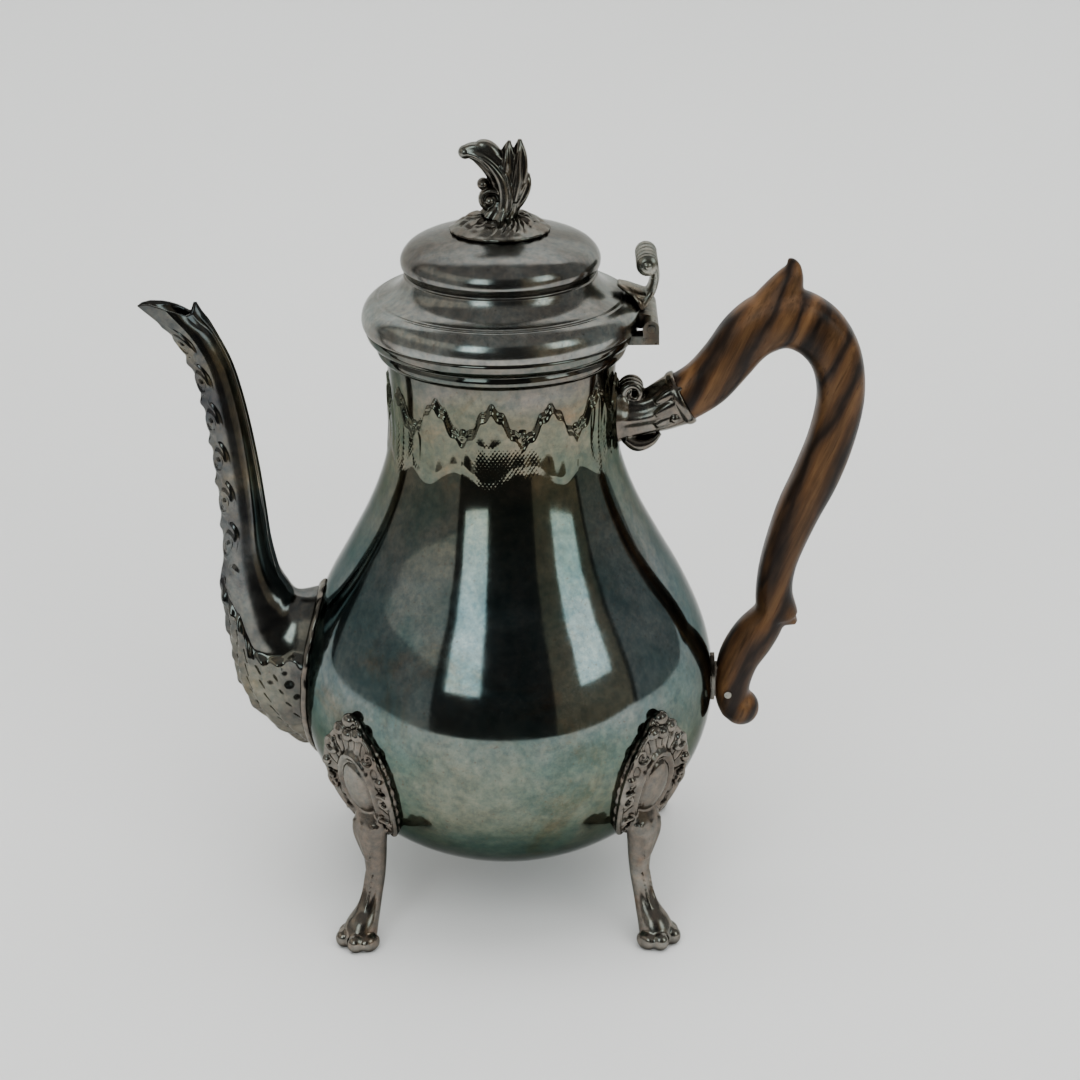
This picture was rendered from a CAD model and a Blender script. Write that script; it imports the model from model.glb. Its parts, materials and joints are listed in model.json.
import json
import math

import bmesh
import bpy
import numpy as np
from mathutils import Matrix, Vector

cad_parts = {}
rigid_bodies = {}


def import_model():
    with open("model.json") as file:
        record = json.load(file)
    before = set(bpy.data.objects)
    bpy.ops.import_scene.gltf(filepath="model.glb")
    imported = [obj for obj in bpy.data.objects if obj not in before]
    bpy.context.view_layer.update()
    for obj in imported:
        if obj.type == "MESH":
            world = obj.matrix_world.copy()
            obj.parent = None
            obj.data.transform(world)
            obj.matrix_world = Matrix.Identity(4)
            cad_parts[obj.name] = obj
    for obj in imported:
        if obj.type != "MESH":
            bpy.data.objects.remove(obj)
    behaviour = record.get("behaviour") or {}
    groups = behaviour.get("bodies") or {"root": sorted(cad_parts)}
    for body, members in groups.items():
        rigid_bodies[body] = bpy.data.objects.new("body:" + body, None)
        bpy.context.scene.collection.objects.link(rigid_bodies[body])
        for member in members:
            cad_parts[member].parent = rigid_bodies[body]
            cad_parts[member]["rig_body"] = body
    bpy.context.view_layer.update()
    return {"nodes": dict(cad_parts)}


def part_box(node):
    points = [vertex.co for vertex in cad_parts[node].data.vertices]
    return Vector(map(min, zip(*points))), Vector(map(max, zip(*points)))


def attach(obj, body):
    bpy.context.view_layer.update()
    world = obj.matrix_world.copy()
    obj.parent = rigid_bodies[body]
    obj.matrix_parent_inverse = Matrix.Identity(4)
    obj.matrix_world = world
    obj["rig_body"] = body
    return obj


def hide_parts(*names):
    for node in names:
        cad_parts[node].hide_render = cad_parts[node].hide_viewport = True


# Silver coffee pot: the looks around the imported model.
# Outlines are in millimetres in the frame's own axes, +Z up, +X from spout to handle.
# Most finished pieces are then fitted to their CAD node's box, which is in metres.

MM = 0.001
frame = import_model()

# ---------------------------------------------------------------- dimensions (mm)

BODY_WALL = 1.5
BELLY_R = 69.8
BELLY_Z = 74.5
BASE_Z = 15.0
SHOULDER = [(69.8, 74.5), (69.1, 86), (66, 98), (59.9, 112), (52.2, 126), (44.9, 140),
            (39.6, 154), (36.8, 168), (36.7, 180), (37.5, 191.5)]
RIM = [(36.0, 191.5), (38.3, 191.6), (40.3, 193.2), (40.7, 194.8), (40.2, 196.2), (40.6, 196.5),
       (42.2, 197.2), (43.6, 198.8), (44.2, 200.6), (44.2, 201.8), (38.0, 201.8), (38.0, 195.2),
       (36.0, 193.0)]
LID_FLANGE = [(43.3, 201.8), (44.7, 201.8), (45.3, 203.2), (45.4, 204.8), (45.0, 206.8), (44.1, 208.6),
              (42.7, 210.1), (41.0, 211.2)]
LID_STEP = [(41.0, 211.2), (40.1, 211.3), (39.6, 211.8)]
LID_COVE = [(39.6, 211.8), (37.6, 212.4), (35.2, 213.6), (33.2, 215.4), (31.9, 217.4), (31.4, 218.8)]
LID_DOME = [(31.4, 218.8), (30.9, 219.4), (31.5, 220.6), (32.3, 222.4), (32.2, 224.6), (31.0, 226.9),
            (28.6, 229.0), (24.0, 231.0), (16.5, 232.9), (8.4, 234.1), (0.2, 234.5)]
LID_WALL = 1.4

# Chased neck: a scalloped line, turned a little about the axis, over a band of flutes
SCALLOPS = 12
SCALLOP_LOW_Z = 174.2
SCALLOP_HIGH_Z = 184.6
SCALLOP_TURN = 0.08
FLUTE_END_Z = 160.0
FLUTES_PER_SCALLOP = 4
HATCH_PER_SCALLOP = 15

# Spout sections, as (front x, front z, rear x, rear z, width)
SPOUT = [(-66.4, 52.0, -62.2, 108.8, 37.0), (-79.6, 60.0, -69.8, 107.8, 29.0),
         (-89.6, 74.0, -73.2, 111.8, 24.0), (-92.8, 92.0, -76.4, 118.2, 20.0),
         (-94.6, 109.5, -78.4, 127.0, 17.0),
         (-94.0, 129.0, -79.7, 139.0, 14.6), (-95.0, 150.0, -81.6, 155.0, 12.6),
         (-97.2, 169.8, -84.6, 173.4, 11.4), (-100.4, 185.5, -88.2, 188.2, 10.8),
         (-106.4, 197.6, -92.8, 198.8, 10.8), (-118.0, 208.6, -98.6, 209.4, 10.0)]
SPOUT_WALL = 1.0

# Limbs of the handle, as (x, z, half depth, half width)
HANDLE = [(56.0, 174.2, 8.3, 6.6), (62.0, 177.4, 8.3, 6.8), (67.4, 181.4, 8.5, 7.0), (73.4, 188.4, 8.6, 7.2),
          (79.6, 196.4, 9.2, 7.6), (86.4, 201.2, 9.8, 8.0), (94.4, 202.4, 9.9, 8.2), (103.0, 197.8, 9.4, 8.3),
          (109.0, 188.6, 8.5, 8.2), (110.8, 176.0, 7.9, 8.0), (108.3, 161.8, 7.7, 7.9),
          (103.5, 148.0, 7.7, 7.8), (97.4, 134.4, 7.2, 7.6), (92.0, 118.5, 6.2, 7.2), (90.4, 107.0, 6.2, 6.9),
          (91.6, 97.4, 7.2, 6.8)]
HANDLE_FOOT = [(91.0, 103.0, 3.6, 5.8), (88.0, 96.0, 6.2, 6.5), (83.4, 89.4, 7.4, 6.6),
               (79.0, 82.0, 7.0, 6.5), (77.0, 74.0, 6.2, 6.2), (76.8, 67.0, 5.6, 5.8), (78.0, 61.4, 4.4, 5.0)]
HANDLE_SPUR = [(82.0, 196.0, 8.6, 7.2), (87.6, 205.0, 7.8, 6.6), (91.4, 211.6, 6.3, 5.6),
               (93.6, 216.6, 4.4, 4.4), (94.2, 220.0, 2.5, 2.8), (92.6, 222.6, 0.7, 1.0)]
HANDLE_BACK_SPUR = [(90.0, 99.4, 5.6, 6.2), (94.6, 97.2, 3.0, 5.2), (98.3, 95.2, 0.8, 3.4)]
# Round end of the handle, as x, z, radius, half width
HANDLE_TAIL = (79.9, 63.4, 6.4, 6.4)

SOCKET = [(35.4, 170.0, 12.0, 8.2), (38.4, 170.0, 10.0, 7.2), (41.6, 169.8, 8.0, 6.4),
          (47.0, 170.6, 7.2, 6.6), (52.4, 172.6, 8.2, 7.2), (57.4, 175.0, 9.0, 7.8), (59.8, 176.2, 8.6, 7.2)]

LEG = [(62.6, 50.0, 3.4, 6.4), (63.6, 43.0, 4.6, 6.6), (63.0, 37.0, 4.4, 5.2), (62.2, 31.0, 3.7, 4.1),
       (62.3, 24.0, 3.2, 3.4), (63.8, 17.5, 3.2, 3.4), (66.2, 11.8, 4.0, 4.4), (69.0, 7.2, 5.4, 5.6),
       (70.4, 3.6, 5.6, 5.9), (70.6, 0.6, 4.6, 5.2)]
# Bearing of each foot about the pot's axis, in degrees from +X
FOOT_BEARING = {"foot_rear_right": 45, "foot_rear_left": 135, "foot_front_left": 225, "foot_front_right": 315}

# ---------------------------------------------------------------- shape helpers


def curve_through(points, per_span):
    """Points on a smooth curve through the given points, per_span steps to each span."""
    p = np.asarray(points, float)
    slopes = np.gradient(p, axis=0)
    steps = np.linspace(0, 1, per_span, endpoint=False)[:, None]
    spans = []
    for a, b, ma, mb in zip(p, p[1:], slopes, slopes[1:]):
        h = 3 * steps**2 - 2 * steps**3
        leave = steps - 2 * steps**2 + steps**3
        arrive = steps**3 - steps**2
        spans.append(a * (1 - h) + b * h + leave * ma + arrive * mb)
    return np.vstack(spans + [p[-1:]])


def grid_faces(rows, cols):
    """Quads of a grid of points whose last column is joined to its first."""
    return [(i * cols + j, i * cols + (j + 1) % cols, (i + 1) * cols + (j + 1) % cols, (i + 1) * cols + j)
            for i in range(rows - 1) for j in range(cols)]


def grid_closed(rows, cols):
    """Quads of a grid that wraps both ways."""
    return [(i * cols + j, i * cols + (j + 1) % cols, ((i + 1) % rows) * cols + (j + 1) % cols,
             ((i + 1) % rows) * cols + j) for i in range(rows) for j in range(cols)]


def tube_mesh(rings):
    """Vertices and faces of a capped skin over rings of points, shape (rows, cols, 3)."""
    rows, cols, _ = rings.shape
    verts = np.vstack([rings.reshape(-1, 3), rings[0].mean(0), rings[-1].mean(0)])
    first, last = rows * cols, rows * cols + 1
    top = (rows - 1) * cols
    faces = grid_faces(rows, cols)
    faces += [(first, (j + 1) % cols, j) for j in range(cols)]
    faces += [(last, top + j, top + (j + 1) % cols) for j in range(cols)]
    return verts, faces


def make_object(name, parts):
    """One object from a list of (vertices in mm, faces), smooth shaded, normals outward."""
    verts, faces, base = [], [], 0
    for part_verts, part_faces in parts:
        verts.append(np.asarray(part_verts, float) * MM)
        faces += [tuple(base + i for i in face) for face in part_faces]
        base += len(part_verts)
    mesh = bpy.data.meshes.new(name)
    mesh.from_pydata(np.vstack(verts).tolist(), [], faces)
    bm = bmesh.new()
    bm.from_mesh(mesh)
    bmesh.ops.recalc_face_normals(bm, faces=bm.faces)
    bm.to_mesh(mesh)
    bm.free()
    mesh.shade_smooth()
    obj = bpy.data.objects.new(name, mesh)
    bpy.context.scene.collection.objects.link(obj)
    return obj


def limb(stations, per_span=6, cols=40, power=2.0, y=0.0, ripple=None):
    """Skin of oval rings along a curve in an XZ plane. Stations are (x, z, half depth, half width).

    power above 2 squares the section off; ripple(angle, along) scales the ring's radius.
    """
    line = curve_through(stations, per_span)
    tangent = np.gradient(line[:, :2], axis=0)
    tangent /= np.linalg.norm(tangent, axis=1)[:, None] + 1e-9
    angle = np.linspace(0, 2 * np.pi, cols, endpoint=False)
    c, s = np.cos(angle), np.sin(angle)
    square = (np.abs(c) ** power + np.abs(s) ** power) ** (-1 / power)
    rings = np.zeros((len(line), cols, 3))
    for i, ((x, z, depth, width), (tx, tz)) in enumerate(zip(line, tangent)):
        scale = square if ripple is None else square * ripple(angle, i / (len(line) - 1))
        rings[i, :, 0] = x - tz * depth * c * scale
        rings[i, :, 1] = y + width * s * scale
        rings[i, :, 2] = z + tx * depth * c * scale
    return tube_mesh(rings)


def rod(points, thick):
    """Round rod through points in space, tapering to its last end."""
    line = curve_through(points, 3)
    tangent = np.gradient(line, axis=0)
    tangent /= np.linalg.norm(tangent, axis=1)[:, None] + 1e-9
    side = np.cross(tangent, (1.0, 0.01, 0.02))
    side /= np.linalg.norm(side, axis=1)[:, None] + 1e-9
    up = np.cross(side, tangent)
    angle = np.linspace(0, 2 * np.pi, 10, endpoint=False)[None, :, None]
    half = thick * (1 - 0.35 * np.linspace(0, 1, len(line)))
    ring = np.cos(angle) * side[:, None, :] + np.sin(angle) * up[:, None, :]
    return tube_mesh(line[:, None, :] + half[:, None, None] * ring)


def scroll(x, z, radius, turns, start, thick, y=0.0, flip=1, width=None):
    """Spiral roll in an XZ plane: it starts thick on the outside and curls in to a small eye."""
    stations = []
    count = max(6, int(turns * 10))
    for i in range(count + 1):
        t = i / count
        angle = math.radians(start) + flip * turns * 2 * math.pi * t
        r = radius * (1 - 0.8 * t)
        half_depth = thick * (1 - 0.35 * t)
        half_width = (width or thick) * (1 - 0.3 * t)
        stations.append((x + r * math.cos(angle), z + r * math.sin(angle), half_depth, half_width))
    return limb(stations, per_span=2, cols=10, y=y)


def ball(x, y, z, rx, ry, rz, rows=14, cols=20):
    """Ellipsoid skin."""
    polar = np.linspace(0.06, math.pi - 0.06, rows)[:, None]
    angle = np.linspace(0, 2 * math.pi, cols, endpoint=False)[None, :]
    rings = np.stack([x + rx * np.sin(polar) * np.cos(angle), y + ry * np.sin(polar) * np.sin(angle),
                      z + rz * np.cos(polar) + 0 * angle], axis=2)
    return tube_mesh(rings)


def lathe(name, profile, cols=256, relief=None):
    """Closed skin of revolution about Z. relief(angle, r, z) gives what to add to radius and height."""
    angle = np.linspace(0, 2 * math.pi, cols, endpoint=False)
    p = np.asarray(profile, float)
    r = np.repeat(p[:, :1], cols, axis=1)
    z = np.repeat(p[:, 1:2], cols, axis=1)
    if relief is not None:
        dr, dz = relief(angle[None, :], r, z)
        r, z = r + dr, z + dz
    rings = np.stack([r * np.cos(angle), r * np.sin(angle), z], axis=2)
    rows = len(p)
    last = (rows - 1) * cols
    faces = grid_faces(rows, cols)
    faces += [(last + j, last + (j + 1) % cols, (j + 1) % cols, j) for j in range(cols)]
    return make_object(name, [(rings.reshape(-1, 3), faces)])


def applied(obj):
    """Replace an object's mesh with the result of its modifiers."""
    graph = bpy.context.evaluated_depsgraph_get()
    graph.update()
    mesh = bpy.data.meshes.new_from_object(obj.evaluated_get(graph))
    obj.modifiers.clear()
    obj.data = mesh
    mesh.shade_smooth()
    return obj


def fuse(name, parts, voxel, smooth):
    """Melt overlapping skins into one cast-looking skin."""
    obj = make_object(name, parts)
    remesh = obj.modifiers.new("melt", "REMESH")
    remesh.mode = "VOXEL"
    remesh.voxel_size = voxel * MM
    soften = obj.modifiers.new("soften", "SMOOTH")
    soften.factor = 0.5
    soften.iterations = smooth
    return applied(obj)


def turned_copy(obj, name, degrees):
    """Copy of a mesh turned about the pot's axis."""
    copy = bpy.data.objects.new(name, obj.data.copy())
    copy.data.transform(Matrix.Rotation(math.radians(degrees), 4, "Z"))
    bpy.context.scene.collection.objects.link(copy)
    return copy


def fit(obj, node, axes="xyz"):
    """Stretch a mesh along the given axes so that it fills its CAD node's box."""
    low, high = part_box(node)
    co = np.zeros(len(obj.data.vertices) * 3)
    obj.data.vertices.foreach_get("co", co)
    co = co.reshape(-1, 3)
    for axis in axes:
        k = "xyz".index(axis)
        size = co[:, k].max() - co[:, k].min()
        co[:, k] = low[k] + (co[:, k] - co[:, k].min()) * (high[k] - low[k]) / size
    obj.data.vertices.foreach_set("co", co.ravel())
    obj.data.update()
    return obj


def finish_piece(obj, node, material):
    """Give a piece its material, its body and the CAD node it stands for."""
    obj.data.materials.clear()
    obj.data.materials.append(material)
    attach(obj, frame["nodes"][node]["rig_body"])
    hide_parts(node)
    return obj


SHOULDER_LINE = curve_through(SHOULDER, 12)


def body_radius(z):
    """Outer radius of the body at a height."""
    z = np.asarray(z, float)
    lower = BELLY_R * np.sqrt(np.clip(1 - ((BELLY_Z - z) / (BELLY_Z - BASE_Z)) ** 2, 0, 1))
    return np.where(z < BELLY_Z, lower, np.interp(z, SHOULDER_LINE[:, 1], SHOULDER_LINE[:, 0]))


# ---------------------------------------------------------------- materials


class Nodes:
    """Short way to build a material's node tree."""

    def __init__(self, name):
        self.material = bpy.data.materials.new(name)
        self.material.use_nodes = True
        self.tree = self.material.node_tree
        self.surface = self.tree.nodes["Principled BSDF"]

    def add(self, kind, inputs=None, **settings):
        node = self.tree.nodes.new(kind)
        for key, value in settings.items():
            setattr(node, key, value)
        for key, value in (inputs or {}).items():
            self.feed(node.inputs[key], value)
        return node

    def feed(self, socket, value):
        if isinstance(value, bpy.types.NodeSocket):
            self.tree.links.new(value, socket)
        else:
            socket.default_value = value

    def ramp(self, source, stops):
        node = self.add("ShaderNodeValToRGB", {"Fac": source})
        elements = node.color_ramp.elements
        elements[0].position, elements[1].position = stops[0][0], stops[-1][0]
        for place, _ in stops[1:-1]:
            elements.new(place)
        for element, (_, color) in zip(elements, stops):
            element.color = (*color, 1)
        return node.outputs["Color"]

    def mix(self, factor, a, b, blend="MIX"):
        node = self.add("ShaderNodeMix", data_type="RGBA", blend_type=blend)
        self.feed(node.inputs[0], factor)
        self.feed(node.inputs[6], a if isinstance(a, bpy.types.NodeSocket) else (*a, 1))
        self.feed(node.inputs[7], b if isinstance(b, bpy.types.NodeSocket) else (*b, 1))
        return node.outputs[2]

    def noise(self, vector, scale, detail=6.0, rough=0.55, distortion=0.0):
        node = self.add("ShaderNodeTexNoise", {"Vector": vector, "Scale": scale, "Detail": detail,
                                               "Roughness": rough, "Distortion": distortion})
        return node.outputs["Fac"]

    def math(self, kind, a, b=0.0):
        node = self.add("ShaderNodeMath", operation=kind)
        self.feed(node.inputs[0], a)
        self.feed(node.inputs[1], b)
        return node.outputs[0]

    def place(self, scale=(1, 1, 1), turn=(0, 0, 0)):
        where = self.add("ShaderNodeTexCoord").outputs["Object"]
        turned = self.add("ShaderNodeMapping", {"Vector": where, "Rotation": turn}).outputs[0]
        return self.add("ShaderNodeMapping", {"Vector": turned, "Scale": scale}).outputs[0]


def grey(value):
    return (value, value, value)


def silver(name, heights, blotch, recess=0.0, rough=(0.05, 0.13), stain_tint=(1.10, 0.78, 0.62),
           edge_tint=(0.62, 0.62, 0.60)):
    """Tarnished silver.

    heights gives the film's colour by height in metres, blotch and stain_tint what clouds and stains
    multiply it by, recess how dark hollows go, rough the range of roughness and edge_tint the grazing tint.
    """
    n = Nodes(name)
    where = n.place()
    z = n.add("ShaderNodeSeparateXYZ", {"Vector": where}).outputs["Z"]
    low, high = heights[0][0], heights[-1][0]
    drift = n.math("MULTIPLY", n.math("SUBTRACT", n.noise(where, 26.0, 5.0), 0.5), 0.035)
    level = n.add("ShaderNodeMapRange", {"Value": n.math("ADD", z, drift), "From Min": low,
                                         "From Max": high + 1e-6})
    film = n.ramp(level.outputs[0], [((h - low) / (high - low + 1e-6), c) for h, c in heights])
    cloud = n.ramp(n.noise(where, 34.0, 8.0, 0.62, 0.6), [(0.40, grey(0)), (0.60, grey(1))])
    film = n.mix(cloud, film, n.mix(1.0, film, blotch, "MULTIPLY"))
    stain = n.ramp(n.noise(where, 19.0, 7.0, 0.68, 1.2), [(0.56, grey(0)), (0.68, grey(0.8))])
    film = n.mix(stain, film, n.mix(1.0, film, stain_tint, "MULTIPLY"))
    patch = n.ramp(n.noise(where, 120.0, 7.0, 0.7, 0.4), [(0.38, grey(0.66)), (0.60, grey(1.12))])
    film = n.mix(0.55, film, patch, "MULTIPLY")
    fine = n.ramp(n.noise(where, 420.0, 6.0, 0.7), [(0.36, (0.55, 0.66, 0.72)), (0.62, (1.12, 1.08, 1.03))])
    film = n.mix(0.7, film, fine, "MULTIPLY")
    specks = n.ramp(n.noise(where, 900.0, 3.0, 0.6), [(0.62, grey(0)), (0.72, grey(1))])
    film = n.mix(n.math("MULTIPLY", specks, 0.55), film, (0.10, 0.065, 0.045))
    if recess:
        hollow = n.add("ShaderNodeAmbientOcclusion", {"Distance": 0.004}, samples=6)
        dark = n.ramp(hollow.outputs["AO"], [(0.35, grey(1)), (0.92, grey(0))])
        film = n.mix(n.math("MULTIPLY", dark, recess), film, (0.022, 0.017, 0.014))
    n.feed(n.surface.inputs["Base Color"], film)
    n.feed(n.surface.inputs["Metallic"], 1.0)
    n.feed(n.surface.inputs["Specular Tint"], (*edge_tint, 1))
    haze = n.math("ADD", n.math("MULTIPLY", n.noise(where, 60.0, 7.0, 0.6), 0.6),
                  n.math("MULTIPLY", n.noise(where, 500.0, 4.0, 0.6), 0.4))
    glossy = n.add("ShaderNodeMapRange", {"Value": haze, "From Min": 0.3, "From Max": 0.7,
                                          "To Min": rough[0], "To Max": rough[1]})
    n.feed(n.surface.inputs["Roughness"], glossy.outputs[0])
    ripple = n.math("ADD", n.noise(where, 55.0, 2.0), n.math("MULTIPLY", n.noise(where, 700.0, 4.0), 0.12))
    dent = n.add("ShaderNodeBump", {"Height": ripple, "Strength": 0.03, "Distance": 0.001})
    n.feed(n.surface.inputs["Normal"], dent.outputs[0])
    return n.material


def rosewood(name):
    """Dark oiled hardwood with black figure along the scroll's grain, satin, with open pores."""
    n = Nodes(name)
    lean = (0, math.radians(-24), 0)
    along = n.place(scale=(1.0, 1.0, 0.22), turn=lean)
    bent = n.noise(along, 11.0, 3.0, 0.5)
    swirl = n.add("ShaderNodeVectorMath", operation="ADD")
    n.feed(swirl.inputs[0], along)
    n.feed(swirl.inputs[1], n.add("ShaderNodeCombineXYZ", {"X": n.math("MULTIPLY", bent, 0.030)}).outputs[0])
    rings = n.add("ShaderNodeTexWave", {"Vector": swirl.outputs[0], "Scale": 34.0, "Distortion": 6.0,
                                        "Detail": 5.0, "Detail Scale": 2.6}, bands_direction="X")
    figure = n.ramp(rings.outputs["Fac"], [(0.0, (0.012, 0.007, 0.005)), (0.20, (0.040, 0.022, 0.012)),
                                           (0.60, (0.076, 0.036, 0.015)), (1.0, (0.112, 0.056, 0.023))])
    streak = n.ramp(n.noise(n.place(scale=(1, 1, 0.07), turn=lean), 150.0, 6.0, 0.65),
                    [(0.38, grey(0.32)), (0.56, grey(1.10))])
    figure = n.mix(0.85, figure, streak, "MULTIPLY")
    pores = n.ramp(n.noise(n.place(scale=(1, 1, 0.06), turn=lean), 900.0, 3.0, 0.6),
                   [(0.30, grey(0.30)), (0.42, grey(1))])
    figure = n.mix(0.6, figure, pores, "MULTIPLY")
    worn = n.ramp(n.noise(n.place(), 40.0, 4.0), [(0.45, grey(0.8)), (0.75, grey(1.25))])
    figure = n.mix(1.0, figure, worn, "MULTIPLY")
    n.feed(n.surface.inputs["Base Color"], figure)
    sheen = n.ramp(n.noise(n.place(), 90.0, 5.0), [(0.3, grey(0.30)), (0.8, grey(0.50))])
    n.feed(n.surface.inputs["Roughness"], sheen)
    n.feed(n.surface.inputs["Specular IOR Level"], 0.16)
    n.feed(n.surface.inputs["Coat Weight"], 0.05)
    n.feed(n.surface.inputs["Coat Roughness"], 0.25)
    dent = n.add("ShaderNodeBump", {"Height": pores, "Strength": 0.16, "Distance": 0.0004})
    n.feed(n.surface.inputs["Normal"], dent.outputs[0])
    return n.material


BODY_SILVER = silver("body_silver", [(0.014, (0.10, 0.12, 0.12)), (0.030, (0.15, 0.18, 0.16)),
                                     (0.052, (0.18, 0.19, 0.145)), (0.072, (0.18, 0.195, 0.16)),
                                     (0.095, (0.21, 0.24, 0.24)), (0.125, (0.19, 0.21, 0.21)),
                                     (0.150, (0.18, 0.18, 0.15)), (0.166, (0.24, 0.21, 0.155)),
                                     (0.183, (0.23, 0.20, 0.15)), (0.192, (0.20, 0.18, 0.16))],
                     (0.62, 0.78, 0.80), recess=0.7, edge_tint=(0.40, 0.41, 0.40))
LID_SILVER = silver("lid_silver", [(0.196, (0.26, 0.24, 0.22)), (0.208, (0.38, 0.40, 0.38)),
                                   (0.220, (0.30, 0.30, 0.28)), (0.236, (0.24, 0.24, 0.23))],
                    (0.74, 0.68, 0.66), recess=0.7, rough=(0.13, 0.27), stain_tint=(0.72, 0.62, 0.58))
CAST_SILVER = silver("cast_silver", [(0.0, (0.27, 0.25, 0.22)), (0.09, (0.28, 0.26, 0.23)),
                                     (0.27, (0.28, 0.27, 0.24))],
                     (0.66, 0.60, 0.58), recess=0.95, rough=(0.14, 0.30))
SPOUT_SILVER = silver("spout_silver", [(0.05, (0.22, 0.20, 0.16)), (0.080, (0.22, 0.21, 0.17)),
                                       (0.110, (0.19, 0.19, 0.18)), (0.165, (0.19, 0.19, 0.18)),
                                       (0.21, (0.18, 0.18, 0.16))], (0.44, 0.44, 0.50), recess=0.85,
                      rough=(0.08, 0.24), stain_tint=(1.7, 1.4, 1.0))
BRIGHT_SILVER = silver("hinge_silver", [(0.19, (0.34, 0.33, 0.29)), (0.23, (0.34, 0.33, 0.29))],
                       (0.7, 0.66, 0.62), recess=0.85, rough=(0.22, 0.38))
INNER_SILVER = silver("inner_silver", [(0.0, (0.34, 0.32, 0.28)), (0.27, (0.38, 0.36, 0.32))],
                      (0.7, 0.68, 0.62), rough=(0.3, 0.5))
ROSEWOOD = rosewood("rosewood")

# ---------------------------------------------------------------- body


def step_up(value, low, high):
    """Smooth step from 0 below low to 1 above high."""
    t = np.clip((value - low) / (high - low), 0, 1)
    return t * t * (3 - 2 * t)


def neck_chasing(angle, r, z):
    """Chased neck: a scalloped line with pearls, and fading flutes with cross-hatching below it."""
    outer = r > body_radius(z) - 0.4
    turned = angle + SCALLOP_TURN
    pitch = 2 * np.pi / SCALLOPS
    across = np.mod(turned + pitch / 2, pitch) / pitch - 0.5
    number = np.floor((turned + pitch / 2) / pitch)
    arch = 0.5 + 0.5 * np.cos(2 * np.pi * across) + 0.08 * np.cos(10 * np.pi * across)
    line_z = SCALLOP_LOW_Z + (SCALLOP_HIGH_Z - SCALLOP_LOW_Z) * arch + 0.7 * np.sin(number * 2.4)
    line = 0.60 * np.exp(-(((z - line_z) / 0.55) ** 2)) - 0.28 * np.exp(-(((z - line_z - 1.1) / 0.5) ** 2))
    pearl = np.exp(-(((np.abs(across) - 0.5) / 0.060) ** 2 + ((z - SCALLOP_LOW_Z - 1.3) / 1.0) ** 2))
    below = np.clip((line_z - z) / 2.0, 0, 1)
    wave = 0.5 + 0.5 * np.cos(2 * np.pi * across + 0.9 * np.sin(number * 1.7))
    reach = FLUTE_END_Z + 2.0 - 5.0 * wave
    band = 0.45 * step_up(z, reach, reach + 4.0) + 0.075 * np.clip(z - reach - 3.0, 0, 12)
    lobe = 0.5 + 0.5 * np.cos(2 * np.pi * FLUTES_PER_SCALLOP * (across + 0.010 * np.sin(z * 0.35 + number)))
    flutes = step_up(z, reach, reach + 8.0) * (0.20 * lobe - 0.10)
    lean = 0.5 + 0.5 * np.sin(turned * SCALLOPS * HATCH_PER_SCALLOP + z * 3.4)
    cross = 0.5 + 0.5 * np.sin(turned * SCALLOPS * HATCH_PER_SCALLOP - z * 3.4)
    chased = step_up(np.sin(number * 2.9 + across * 3.0), -0.3, 0.4)
    hatch = 0.11 * lean * cross * chased * step_up(z, reach - 1.0, reach + 2.0) * step_up(-z, -176.0, -168.0)
    dr = line + 1.25 * pearl + below * (band + flutes + hatch)
    return np.where(outer, dr, 0.0), 0.0 * r


def build_body():
    lower = np.linspace(0.012, np.pi / 2, 46)
    outer = [(BELLY_R * math.sin(t), BELLY_Z - (BELLY_Z - BASE_Z) * math.cos(t)) for t in lower]
    shoulder = curve_through(SHOULDER, 8)
    coarse = [tuple(p) for p in shoulder[1:] if p[1] < 156.0]
    fine = [(float(body_radius(z)), z) for z in np.arange(156.0, 191.5, 0.36)]
    skin = outer + coarse + fine + [(37.5, 191.5)]
    inner = [(max(r - BODY_WALL, 0.2), z + (BODY_WALL if z < 40 else 0)) for r, z in reversed(skin[::3])]
    return lathe("body_shell_visual", skin + [(36.0, 191.5)] + inner, cols=720, relief=neck_chasing)


def densify(points, steps):
    """Rounded outline: a smooth curve between the points of a moulding."""
    return [tuple(p) for p in curve_through(points, steps)]


def build_rim():
    lower_bead = densify(RIM[0:5], 6)
    upper_bead = densify(RIM[5:9], 6)
    return lathe("mouth_rim_visual", lower_bead + upper_bead + RIM[9:], cols=300)


def lid_outline():
    mouldings = ((LID_STEP, 3), (LID_COVE, 5), (LID_DOME, 7))
    outline = densify(LID_FLANGE, 6)
    for points, steps in mouldings:
        outline += densify(points, steps)[1:]
    return outline


def build_lid():
    outer = lid_outline()
    p = np.asarray(outer)
    slope = np.gradient(p, axis=0)
    slope /= np.linalg.norm(slope, axis=1)[:, None] + 1e-9
    inner = p + np.stack([-slope[:, 1], slope[:, 0]], axis=1) * LID_WALL
    inner = [(max(r, 0.2), z) for r, z in inner if z > 203.0]
    return lathe("lid_shell_visual", outer + inner[::-1], cols=300)


# Ring around the spout's root, as its middle's height and its half width and half height
COLLAR_Z = 80.0
COLLAR_HALF_WIDTH = 18.6
COLLAR_HALF_HEIGHT = 29.6
COLLAR_GADROONS = 22


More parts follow.
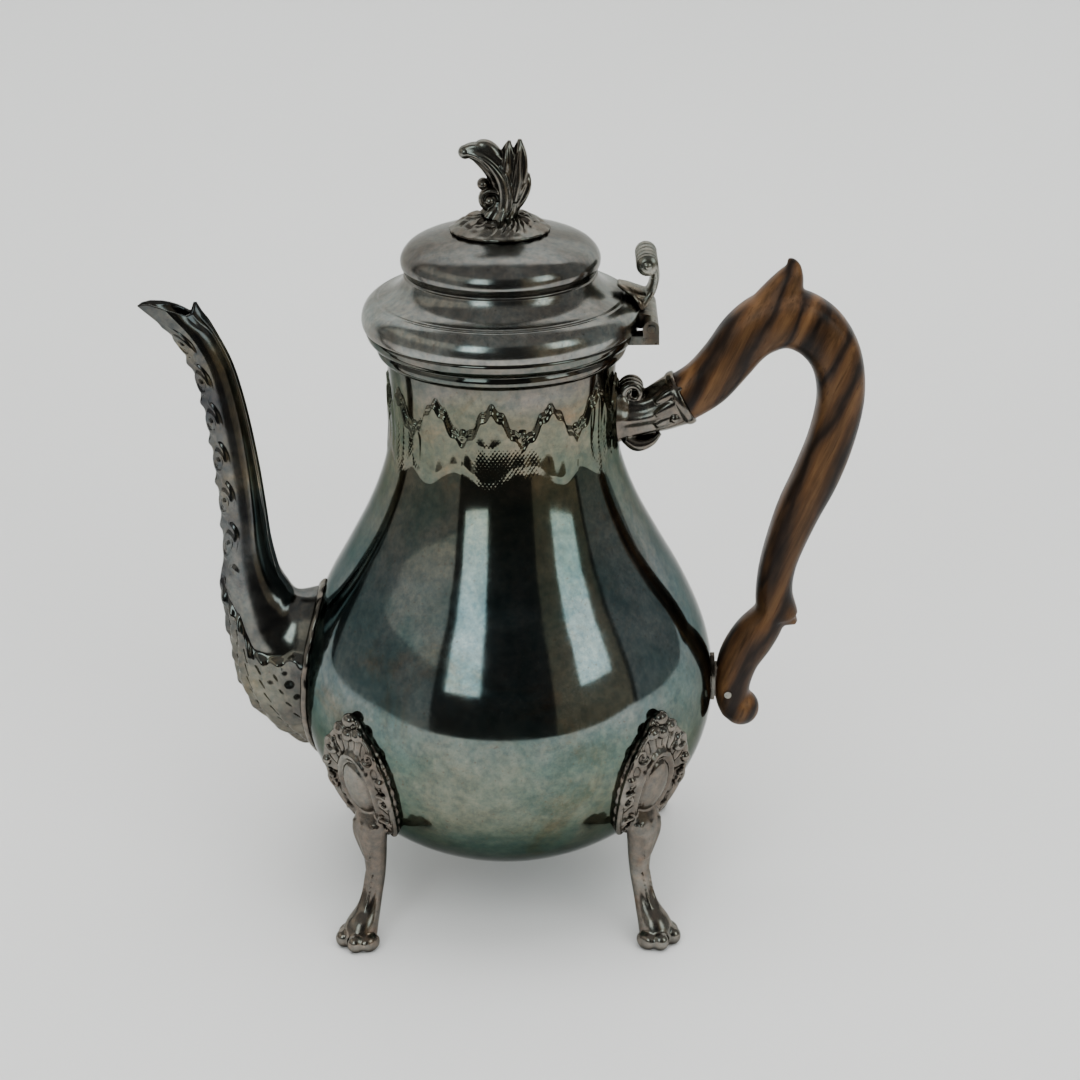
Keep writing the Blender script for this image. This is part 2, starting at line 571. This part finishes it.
def build_collar():
    """Gadrooned moulding that follows the body around the spout's root."""
    angle = np.linspace(0, 2 * np.pi, 180, endpoint=False)
    ring = np.linspace(0, 2 * np.pi, 14, endpoint=False)
    rings = np.zeros((len(angle), len(ring), 3))
    for i, a in enumerate(angle):
        roll = 1.55 + 0.32 * math.cos(COLLAR_GADROONS * a)
        for j, b in enumerate(ring):
            grow = roll * math.cos(b)
            y = (COLLAR_HALF_WIDTH + grow) * math.cos(a)
            z = COLLAR_Z + (COLLAR_HALF_HEIGHT + grow) * math.sin(a)
            r = float(body_radius(z)) + 0.5 + 1.2 * math.sin(b)
            rings[i, j] = (-math.sqrt(max(r * r - y * y, 1)), y, z)
    closed = np.concatenate([rings, rings[:1]])
    verts = closed.reshape(-1, 3)
    return make_object("spout_collar_visual", [(verts[:-len(ring)], grid_closed(len(angle), len(ring)))])


# ---------------------------------------------------------------- spout


# Height of the lip's rim above its plain cut, by cosine of the angle: rear -1, side 0, tip 1
LIP_RIM = [(-1.0, 0.5), (-0.95, -0.8), (-0.86, -2.9), (-0.70, -3.1), (-0.3, -1.4), (0.2, 0.2), (0.6, 1.0),
           (0.85, 0.8), (1.0, 0.0)]


# Side edge of the root's leaf: share of the way along the spout, and of the way round from its front
ROOT_LEAF_ALONG = (0.0, 0.06, 0.12, 0.18, 0.26, 0.36)
ROOT_LEAF_SIDE = (0.62, 0.60, 0.50, 0.40, 0.34, 0.10)


def spout_chasing(along, angle, length):
    """Lift of the foliage on the spout's front: scrolls up the neck, an acanthus at the root."""
    side = np.abs(angle) / np.pi
    up = length * along
    pitch = 13.5
    phase = np.mod(up, pitch) / pitch
    edge = 0.30 + 0.14 * np.sin(np.pi * phase) ** 0.6
    neck = step_up(along, 0.33, 0.37) * step_up(-along, -0.97, -0.90)
    inside = step_up(edge - side, -0.012, 0.020)
    reach = np.hypot((phase - 0.5) * pitch, (side - 0.26) * 30)
    eye = np.exp(-((reach / 1.5) ** 2))
    ring = np.exp(-(((reach - 3.4) / 0.8) ** 2))
    curl = np.hypot((np.mod(phase + 0.5, 1) - 0.5) * pitch, (side - 0.10) * 30)
    bud = np.exp(-((curl / 1.7) ** 2))
    border = np.exp(-(((side - edge + 0.03) / 0.026) ** 2))
    foliage = neck * (inside * (0.30 + 1.25 * eye + 1.05 * ring + 1.3 * bud) + 0.55 * border)
    leaf_edge = np.interp(along, ROOT_LEAF_ALONG, ROOT_LEAF_SIDE)
    root = step_up(-along, -0.38, -0.34)
    leaf = step_up(leaf_edge - side, -0.012, 0.020)
    lobe = 0.5 + 0.5 * np.cos(side * 40 - up * 0.55)
    knob = np.exp(-((np.mod(up, 7.0) - 3.5) ** 2 / 2.6 + (side - 0.07) ** 2 / 0.003))
    rim = np.exp(-(((side - leaf_edge + 0.035) / 0.030) ** 2))
    vein = 0.5 + 0.5 * np.cos(side * 95 + up * 0.9)
    acanthus = root * (leaf * (0.35 + 1.5 * lobe + 1.3 * knob + 0.45 * vein) + 1.1 * rim)
    keel = np.exp(-(((side - 0.88) / 0.016) ** 2)) + 1.3 * np.exp(-(((side - 1.0) / 0.03) ** 2))
    ridges = 0.6 * keel * step_up(along, 0.20, 0.28) * step_up(-along, -0.98, -0.94)
    return foliage + acanthus + ridges


def spout_rings(inset, cols=200, per_span=24):
    """Rings of the spout, root on the body's skin and lip cut to its duck-bill shape."""
    line = curve_through(SPOUT, per_span)
    angle = np.linspace(-np.pi, np.pi, cols, endpoint=False)
    c, s = np.cos(angle), np.sin(angle)
    run = np.concatenate([[0], np.cumsum(np.hypot(*np.diff((line[:, :2] + line[:, 2:4]) / 2, axis=0).T))])
    rings = np.zeros((len(line), cols, 3))
    rim_x, rim_z = zip(*LIP_RIM)
    for i, (fx, fz, rx, rz, width) in enumerate(line):
        along = run[i] / run[-1]
        half = math.hypot(fx - rx, fz - rz) / 2
        lift = 0.0 if inset else 0.85 * spout_chasing(along, angle, run[-1])
        depth = 1 + (lift - inset) / half
        mx, mz = (fx + rx) / 2, (fz + rz) / 2
        point = 1 - 0.16 * np.clip(c, 0, 1) ** 2 - 0.10 * np.clip(-c, 0, 1) ** 3
        rings[i, :, 0] = mx + (fx - rx) / 2 * depth * c
        rings[i, :, 2] = mz + (fz - rz) / 2 * depth * c
        taper = 1 - 0.45 * along**8 * np.clip(c, 0, 1)
        rings[i, :, 1] = (width / 2 + lift - inset) * s * point * taper
        rings[i, :, 2] += np.interp(c, rim_x, rim_z) * float(step_up(along, 0.90, 1.0))
    root = rings[0]
    reach = body_radius(root[:, 2]) - 0.6
    root[:, 0] = -np.sqrt(np.clip(reach**2 - root[:, 1] ** 2, 1, None))
    return rings


def build_spout():
    outer, inner = spout_rings(0.0), spout_rings(SPOUT_WALL)
    skin = np.concatenate([outer, inner[::-4]])
    rows, cols, _ = skin.shape
    return make_object("spout_visual", [(skin.reshape(-1, 3), grid_closed(rows, cols))])


# ---------------------------------------------------------------- handle and its sockets


def build_handle():
    parts = [limb(HANDLE, power=2.5, per_span=5), limb(HANDLE_FOOT, power=2.4, per_span=5),
             limb(HANDLE_SPUR, power=2.2, per_span=6), limb(HANDLE_BACK_SPUR, power=2.2, per_span=6)]
    x, z, radius, half_width = HANDLE_TAIL
    parts.append(ball(x, 0, z, radius, half_width, radius))
    return fuse("handle_visual", parts, 0.8, 8)


def socket_flutes(angle, along):
    """Ripple of the socket: eight flutes that fade out before its rim."""
    return 1 + 0.07 * np.cos(8 * angle) * math.sin(math.pi * min(1, 1.25 * along))


def build_socket():
    parts = [limb(SOCKET, per_span=6, cols=64, ripple=socket_flutes)]
    parts += [scroll(42.6, 178.2, 4.0, 1.4, 250, 1.6, y, -1, 1.8) for y in (-3.4, 0, 3.4)]
    curl = [(40.0, 163.0, 1.8, 2.6), (44.0, 160.6, 2.4, 3.0), (48.6, 161.6, 1.6, 2.2),
            (51.6, 164.4, 0.7, 1.0)]
    parts += [limb(curl, y=y) for y in (-3.2, 3.2)]
    for side in (-1, 1):
        parts.append(ball(56.2, side * 7.4, 170.6, 1.5, 0.8, 1.5))
        for k in range(3):
            up = 4 * k
            leaf = [(50.0, 168.0 + up, 0.8, 0.6), (54.0, 170.4 + up, 1.8, 1.0), (58.4, 173.0 + up, 0.6, 0.5)]
            parts.append(limb(leaf, cols=12, y=side * (7.0 - 0.8 * abs(k - 1))))
    rim = [(57.2, 174.9, 9.4, 8.1), (58.4, 175.5, 9.7, 8.4), (59.6, 176.1, 9.4, 8.1)]
    parts.append(limb(rim, per_span=4, cols=64))
    return fuse("upper_handle_socket_visual", parts, 0.34, 2)


# ---------------------------------------------------------------- lid ornaments


def build_thumbpiece():
    """Reeded scroll, its curved stem and the saddle that lies on the lid."""
    x0, z0, radius, half, reeds = 47.0, 223.0, 3.6, 10.0, 5
    ys = np.linspace(-half, half, 91)
    angle = np.linspace(0, 2 * np.pi, 48, endpoint=False)
    rings = np.zeros((len(ys), len(angle), 3))
    for i, y in enumerate(ys):
        reed = abs(math.sin(math.pi * reeds * (y + half) / (2 * half)))
        r = radius - 0.95 + 0.95 * reed**0.6 - 0.8 * max(0, abs(y) / half - 0.9) * 10
        rings[i, :, 0] = x0 + r * np.cos(angle)
        rings[i, :, 1] = y
        rings[i, :, 2] = z0 + r * np.sin(angle)
    stem = [(49.3, 222.0, 1.5, 8.2), (49.7, 217.6, 1.5, 6.2), (48.7, 213.2, 1.5, 5.4),
            (46.6, 209.8, 1.5, 6.4), (45.6, 208.0, 1.1, 7.0)]
    saddle = [(47.4, 211.0, 1.5, 5.4), (43.6, 212.0, 1.6, 6.2), (40.8, 213.4, 1.3, 5.6),
              (37.8, 215.0, 0.8, 3.2)]
    heel = [(45.4, 207.6, 1.2, 7.4), (44.4, 210.2, 1.4, 7.4), (42.8, 212.0, 1.0, 6.4)]
    parts = [tube_mesh(rings), limb(stem, power=3.0), limb(saddle, power=2.6), limb(heel, power=3)]
    for y in (-half + 0.6, half - 0.6):
        parts.append(ball(x0, y, z0, 1.5, 1.2, 1.5))
    return fuse("thumbpiece_visual", parts, 0.24, 1)


# Domed disc under the finial
DISC_R = 16.4
DISC_TOP_Z = 238.0
DISC_DROP = 4.0


def rocaille(angle, r, z):
    """Chased shells and ribs on the disc under the finial."""
    out = np.clip(r / DISC_R, 0, 1)
    top = z > 233.2
    shell = np.abs(np.sin(4.5 * angle + 2.4 * np.sin(2 * angle) + 3.0 * out))
    rib = np.sin(18 * angle - 9 * out) * 0.5
    leaf = np.abs(np.sin(7 * angle + 4.0 * np.sin(3 * angle + 5 * out)))
    middle = np.sin(np.pi * np.clip((out - 0.26) / 0.66, 0, 1))
    rise = middle * (1.0 * shell**0.6 + 0.8 * leaf**0.8 + 0.4 * rib - 0.95)
    edge = 0.16 * np.cos(20 * angle) * np.clip((out - 0.86) / 0.14, 0, 1)
    return np.where(top, edge, 0), np.where(top, rise, 0)


def build_plate():
    top = [(r, DISC_TOP_Z - DISC_DROP * (r / DISC_R) ** 2.4) for r in np.linspace(0.2, DISC_R, 54)]
    under = [(16.2, 233.3), (16.0, 232.95)]
    return lathe("finial_plate_visual", top + under, cols=300, relief=rocaille)


def leaf_veins(angle, along):
    """Ripple of a finial leaf: five ridges, deepest halfway along it."""
    return 1 + 0.16 * np.cos(5 * angle) * math.sin(math.pi * along)


def build_finial():
    parts = [
        limb([(0.0, 236.8, 6.4, 6.4), (0.6, 238.6, 5.4, 5.6), (1.4, 240.6, 4.2, 4.6), (1.8, 242.6, 3.8, 4.2)],
             ripple=lambda angle, along: 1 + 0.10 * np.cos(8 * angle)),
        limb([(1.8, 238.0, 4.2, 4.4), (2.6, 243.6, 3.8, 4.2), (1.7, 249.0, 4.2, 4.0), (-0.4, 253.2, 4.0, 3.8),
              (-3.6, 256.6, 3.6, 3.5), (-6.8, 258.6, 3.1, 3.1), (-9.6, 258.9, 2.5, 2.6),
              (-11.6, 258.1, 1.6, 1.8)],
             ripple=leaf_veins),
        ball(-10.7, 0, 258.6, 2.3, 2.6, 2.3),
        limb([(0.4, 255.6, 2.4, 2.8), (-2.8, 259.8, 2.2, 2.6), (-5.4, 261.2, 1.5, 2.2),
              (-7.4, 260.6, 0.9, 1.4)]),
        limb([(2.0, 250.0, 3.2, 3.6), (2.8, 255.6, 2.8, 3.4), (3.0, 259.6, 1.7, 2.3), (3.4, 262.2, 0.5, 0.8)],
             ripple=leaf_veins),
        limb([(3.6, 244.0, 3.0, 3.6), (5.8, 250.0, 3.1, 3.6), (6.5, 255.6, 2.7, 3.2), (6.6, 259.6, 1.8, 2.2),
              (6.7, 262.6, 0.6, 0.9)], ripple=leaf_veins),
        limb([(3.4, 240.0, 2.6, 3.2), (6.4, 244.4, 2.6, 3.0), (8.3, 248.4, 2.1, 2.6), (8.9, 251.6, 0.9, 1.2)],
             ripple=leaf_veins),
        scroll(-2.8, 242.9, 3.9, 1.5, 20, 1.25, 0, 1, 3.0),
        ball(-3.1, 0, 242.9, 2.3, 3.4, 2.3),
        ball(-5.2, 0, 248.2, 2.0, 2.6, 2.0),
        limb([(1.4, 236.8, 1.0, 4.6), (3.4, 241.0, 0.9, 4.8), (3.6, 246.0, 0.9, 4.6), (2.6, 250.6, 0.8, 4.2),
              (0.4, 254.4, 0.6, 3.4)]),
    ]
    for side in (-1, 1):
        parts.append(limb([(0.8, 239.0, 1.3, 1.0), (1.6, 244.6, 1.5, 1.0), (0.6, 250.0, 1.4, 1.0),
                           (-2.4, 254.6, 1.0, 0.8), (-5.6, 257.4, 0.6, 0.6)], y=side * 3.7))
        parts.append(limb([(4.6, 243.0, 1.0, 0.9), (5.9, 249.0, 1.1, 0.9), (6.2, 255.0, 0.8, 0.8),
                           (6.5, 259.0, 0.5, 0.5)], y=side * 3.2))
    return fuse("finial_visual", parts, 0.24, 2)


# ---------------------------------------------------------------- feet


def body_point(across, z, lift):
    """Point on the body's skin at bearing 0, across mm to the side, lifted off it."""
    r = float(body_radius(z))
    rise = float(body_radius(z + 0.5) - body_radius(z - 0.5))
    normal = np.array([1.0, 0.0, -rise])
    normal /= np.linalg.norm(normal)
    turn = across / r
    px, pz = r + normal[0] * lift, z + normal[2] * lift
    return px * math.cos(turn), px * math.sin(turn), pz


# Outline of the cartouche at a leg's top, as (half width, z), and the heights of its plate
CARTOUCHE_LINE = curve_through([(3.5, 38.0), (8.0, 42.0), (12.8, 50.0), (15.2, 60.0), (14.0, 70.0),
                                (9.6, 77.4), (6.0, 80.6), (4.4, 83.4), (1.0, 86.0)], 8)
PLATE_LOW_Z = 38.2
PLATE_HIGH_Z = 85.8
SHIELD_Z = 60.0
SWIRL_Z = 61.0


def cartouche_edge(z):
    """Half width of the cartouche at a height."""
    return float(np.interp(z, CARTOUCHE_LINE[:, 1], CARTOUCHE_LINE[:, 0]))


def cartouche_plate():
    """Low relief plate: a smooth shield in the middle, a ring and gadroons around it."""
    heights = np.linspace(PLATE_LOW_Z, PLATE_HIGH_Z, 100)
    cols = np.linspace(-1, 1, 81)
    front = np.zeros((len(heights), len(cols), 3))
    back = np.zeros_like(front)
    for i, z in enumerate(heights):
        edge = cartouche_edge(z)
        wave = 0.25 * math.sin(z * 1.35)
        for j, u in enumerate(cols):
            across = u * (edge + wave * abs(u))
            shield = math.hypot(across / 5.6, (z - SHIELD_Z) / (11.5 if z < SHIELD_Z else 9.0))
            swirl = math.atan2((z - SWIRL_Z) / 20.0, across / 13.0 + 1e-9)
            lift = 1.1
            if shield < 1:
                lift += 2.1 * (1 - shield**2) ** 0.5 + 0.4
            else:
                gadroons = min(1, (shield - 1.3) * 1.4 if shield > 1.3 else 0)
                lift += 1.7 * math.exp(-(((shield - 1.28) / 0.17) ** 2))
                lift += 1.25 * abs(math.sin(11 * swirl)) * gadroons
            lift *= (1 - abs(u) ** 6) ** 0.5
            front[i, j] = body_point(across, z, lift)
            back[i, j] = body_point(across, z, -1.4)
    return tube_mesh(np.concatenate([front, back[:, ::-1]], axis=1))


# Spirals on the cartouche, as (across, z, radius, start in degrees, way they curl)
CARTOUCHE_SPIRALS = [(9.0, 73.5, 3.2, 200, 1), (11.5, 58.0, 3.0, 120, -1), (7.5, 46.5, 3.0, 30, 1),
                     (4.2, 80.0, 2.2, 160, -1)]
# Border rods of the cartouche, as (first z, last z, inset from the edge)
CARTOUCHE_BORDERS = [(42.0, 66.0, 1.2), (63.0, 80.0, 1.6)]
# Tendon of a paw and leaf on the knee, as (r, z, half depth, half width)
TENDON = [(64.6, 25.0, 0.9, 0.7), (66.2, 18.0, 1.1, 0.8), (69.4, 11.6, 1.2, 0.9), (72.4, 7.0, 1.1, 0.9)]
KNEE_LEAF = [(66.2, 45.0, 1.6, 5.8), (66.8, 41.0, 1.8, 5.0), (66.2, 36.4, 1.5, 3.6), (65.4, 31.0, 0.9, 1.6)]


def spiral_on_body(side, across, z, radius, start, flip):
    """Points of a spiral that lies on the body's skin, 2.6 mm off it."""
    points = []
    for k in range(15):
        t = k / 14
        turn = math.radians(start) + flip * 2.3 * math.pi * t
        r = radius * (1 - 0.75 * t)
        points.append(body_point(side * (across + r * math.cos(turn)), z + r * math.sin(turn), 2.6))
    return points


def build_foot():
    """One cast foot at bearing 0; the four feet are copies of it turned about the pot's axis."""
    parts = [cartouche_plate(), limb(LEG)]
    for side in (-1, 1):
        for spiral in CARTOUCHE_SPIRALS:
            parts.append(rod(spiral_on_body(side, *spiral), 0.95))
        for first, last, inset in CARTOUCHE_BORDERS:
            heights = np.linspace(first, last, 12)
            border = [body_point(side * (cartouche_edge(z) - inset), z, 1.9) for z in heights]
            knob = body_point(side * (cartouche_edge(last) - inset - 1.2), last, 2.4)
            parts.append(rod(border, 1.35))
            parts.append(ball(*knob, 1.9, 1.9, 1.9, 10, 14))
        parts.append(ball(74.2, side * 2.9, 3.5, 3.4, 2.9, 3.4))
        parts.append(ball(70.6, side * 5.6, 3.3, 3.9, 2.4, 3.2))
        parts.append(limb(TENDON, y=side * 1.5, cols=12))
    parts.append(ball(*body_point(0, 84.2, 2.0), 2.2, 2.6, 2.6))
    parts.append(ball(*body_point(0, 79.4, 2.4), 2.0, 2.2, 2.2))
    parts.append(limb(KNEE_LEAF, cols=24, ripple=lambda angle, along: 1 + 0.12 * np.cos(7 * angle)))
    return fuse("foot_casting", parts, 0.42, 2)


# ---------------------------------------------------------------- assemble

finish_piece(fit(build_body(), "body_shell"), "body_shell", BODY_SILVER)
finish_piece(fit(build_rim(), "mouth_rim"), "mouth_rim", BODY_SILVER)
finish_piece(fit(build_spout(), "spout", "z"), "spout", SPOUT_SILVER)
finish_piece(build_collar(), "spout_collar", CAST_SILVER)
finish_piece(fit(build_handle(), "handle", "yz"), "handle", ROSEWOOD)
finish_piece(build_socket(), "upper_handle_socket", CAST_SILVER)
finish_piece(fit(build_lid(), "lid_shell"), "lid_shell", LID_SILVER)
finish_piece(fit(build_plate(), "finial_plate", "xy"), "finial_plate", CAST_SILVER)
finish_piece(build_finial(), "finial", CAST_SILVER)
finish_piece(fit(build_thumbpiece(), "thumbpiece", "y"), "thumbpiece", BRIGHT_SILVER)
casting = build_foot()
for foot, bearing in FOOT_BEARING.items():
    finish_piece(fit(turned_copy(casting, foot + "_visual", bearing), foot, "z"), foot, CAST_SILVER)
bpy.data.objects.remove(casting)

# Nodes that are shown as the CAD made them, each with a material
KEPT_CAD = {"lower_handle_socket": CAST_SILVER, "upper_handle_pin": CAST_SILVER,
            "lower_handle_pin": BRIGHT_SILVER, "hinge_body_leaf": BRIGHT_SILVER, "hinge_pin": BRIGHT_SILVER,
            "lid_bezel": INNER_SILVER, "hinge_lid_leaf": BRIGHT_SILVER, "finial_nut": INNER_SILVER}
for node, material in KEPT_CAD.items():
    obj = frame["nodes"][node]
    obj.data.materials.clear()
    obj.data.materials.append(material)

# ---------------------------------------------------------------- stage, light, camera

# The stage is in metres
FLOOR_FRONT = -0.47
FLOOR_BACK = 0.62
WALL_HEIGHT = 1.9
STAGE_HALF = 1.15
CORNER_R = 0.25
PAPER_GLOW = 0.72

# What the silver mirrors, as name, azimuths and elevations in degrees, colour, strength, distance.
# Azimuths turn from -Y towards +X: two tall windows, a brown doorway and greyer walls to the sides.
ROOM = [("window_left", (-34, -14), (13.5, 38), (0.82, 0.99, 1.0), 3.0, 3.0),
        ("window_right", (43, 63), (13.5, 38), (0.84, 0.99, 0.97), 2.9, 3.0),
        ("doorway", (27, 72), (-25, 40), (1.0, 0.86, 0.62), 0.26, 3.3),
        ("wall_left", (-112, -41), (-22, 20), (1.0, 1.0, 0.95), 0.34, 3.4),
        ("wall_left_high", (-112, -41), (20, 42), (1.0, 0.98, 0.88), 0.70, 3.4),
        ("wall_right", (75, 122), (-22, 42), (0.95, 1.0, 0.98), 0.30, 3.4)]
PANEL_MIDDLE_Z = 0.12

# Share of straight up at which the room starts and ends turning from dark to a grey ceiling
CEILING_FROM = 0.56
CEILING_TO = 0.68
ROOM_DARK = 0.050
ROOM_CEILING = 0.27

CAMERA_PLACE = (0.01571, -0.89986, 0.49050)
CAMERA_TARGET = (0.01177, 0.0, 0.12552)
CAMERA_ROLL = -0.6
CAMERA_LENS = 96.78


def paper(name):
    """Plain pale backdrop with a faint unevenness, clear from behind so the pot's back can be seen too."""
    n = Nodes(name)
    tone = n.ramp(n.noise(n.place(), 3.0, 3.0), [(0.3, (0.70, 0.70, 0.69)), (0.7, (0.74, 0.74, 0.735))])
    n.feed(n.surface.inputs["Base Color"], tone)
    n.feed(n.surface.inputs["Roughness"], 0.55)
    behind = n.add("ShaderNodeNewGeometry").outputs["Backfacing"]
    n.feed(n.surface.inputs["Alpha"], n.math("SUBTRACT", 1.0, behind))
    return n.material


def build_stage():
    corner = [(FLOOR_BACK - CORNER_R + CORNER_R * math.sin(a), CORNER_R - CORNER_R * math.cos(a))
              for a in np.linspace(0, math.pi / 2, 16)]
    side = [(FLOOR_FRONT, 0.0)] + corner + [(FLOOR_BACK, WALL_HEIGHT)]
    verts = [(x, y, z) for y, z in side for x in (-STAGE_HALF, STAGE_HALF)]
    faces = [(2 * i, 2 * i + 1, 2 * i + 3, 2 * i + 2) for i in range(len(side) - 1)]
    mesh = bpy.data.meshes.new("stage")
    mesh.from_pydata(verts, [], faces)
    mesh.shade_smooth()
    mesh.materials.append(paper("stage_paper"))
    stage = bpy.data.objects.new("stage", mesh)
    bpy.context.scene.collection.objects.link(stage)


def soft_light(name, place, target, size, power):
    """Large soft light that the silver doesn't mirror."""
    data = bpy.data.lights.new(name, "AREA")
    data.shape = "RECTANGLE"
    data.size, data.size_y = size
    data.energy = power
    light = bpy.data.objects.new(name, data)
    light.location = place
    light.rotation_euler = (Vector(target) - Vector(place)).to_track_quat("-Z", "Y").to_euler()
    light.visible_glossy = False
    bpy.context.scene.collection.objects.link(light)


def glow(name, color, strength):
    """Plain light-giving material for a panel that the silver mirrors."""
    n = Nodes(name)
    n.feed(n.surface.inputs["Base Color"], (0, 0, 0, 1))
    n.feed(n.surface.inputs["Emission Color"], (*color, 1))
    n.feed(n.surface.inputs["Emission Strength"], strength)
    return n.material


def panel(name, azimuths, elevations, color, strength, distance):
    """Curved upright panel around the pot that only mirrors see, between two azimuths and elevations."""
    verts = []
    for azimuth in np.radians(np.linspace(*azimuths, 9)):
        for elevation in np.radians(elevations):
            verts.append((distance * math.sin(azimuth), -distance * math.cos(azimuth),
                          PANEL_MIDDLE_Z + distance * math.tan(elevation)))
    mesh = bpy.data.meshes.new(name)
    mesh.from_pydata(verts, [], [(2 * i, 2 * i + 2, 2 * i + 3, 2 * i + 1) for i in range(8)])
    mesh.materials.append(glow(name, color, strength))
    obj = bpy.data.objects.new(name, mesh)
    bpy.context.scene.collection.objects.link(obj)
    obj.visible_shadow = False
    obj.visible_camera = False


def build_world():
    """Dim room in the mirrors: nearly black at eye level, grey overhead. The camera sees plain pale paper."""
    world = bpy.data.worlds.new("room")
    world.use_nodes = True
    tree = world.node_tree
    coord = tree.nodes.new("ShaderNodeTexCoord")
    parts = tree.nodes.new("ShaderNodeSeparateXYZ")
    tree.links.new(coord.outputs["Generated"], parts.inputs[0])
    height = tree.nodes.new("ShaderNodeMapRange")
    height.inputs["From Min"].default_value = CEILING_FROM
    height.inputs["From Max"].default_value = CEILING_TO
    height.inputs["To Min"].default_value = ROOM_DARK
    height.inputs["To Max"].default_value = ROOM_CEILING
    tree.links.new(parts.outputs["Z"], height.inputs["Value"])
    seen = tree.nodes.new("ShaderNodeLightPath")
    strength = tree.nodes.new("ShaderNodeMix")
    strength.inputs["B"].default_value = PAPER_GLOW
    tree.links.new(seen.outputs["Is Camera Ray"], strength.inputs["Factor"])
    tree.links.new(height.outputs[0], strength.inputs["A"])
    tree.links.new(strength.outputs["Result"], tree.nodes["Background"].inputs["Strength"])
    tree.nodes["Background"].inputs["Color"].default_value = (1.0, 0.99, 0.95, 1)
    bpy.context.scene.world = world


def build_camera():
    """Camera a little above the pot's shoulder, nine tenths of a metre in front of it."""
    data = bpy.data.cameras.new("camera")
    data.lens = CAMERA_LENS
    data.sensor_width = 36.0
    place = Vector(CAMERA_PLACE)
    target = Vector(CAMERA_TARGET)
    camera = bpy.data.objects.new("camera", data)
    look = (target - place).to_track_quat("-Z", "Y")
    roll = Matrix.Rotation(math.radians(CAMERA_ROLL), 4, "Z")
    camera.matrix_world = Matrix.Translation(place) @ look.to_matrix().to_4x4() @ roll
    bpy.context.scene.collection.objects.link(camera)
    bpy.context.scene.camera = camera


build_stage()
build_world()
for name, azimuths, elevations, color, strength, distance in ROOM:
    panel(name, azimuths, elevations, color, strength, distance)
soft_light("sky", (0.1, -0.1, 2.0), (0, 0.1, 0), (2.4, 1.8), 46)
soft_light("front_fill", (0.3, -1.7, 1.5), (0, 0.1, 0.1), (2.4, 1.6), 50)
build_camera()
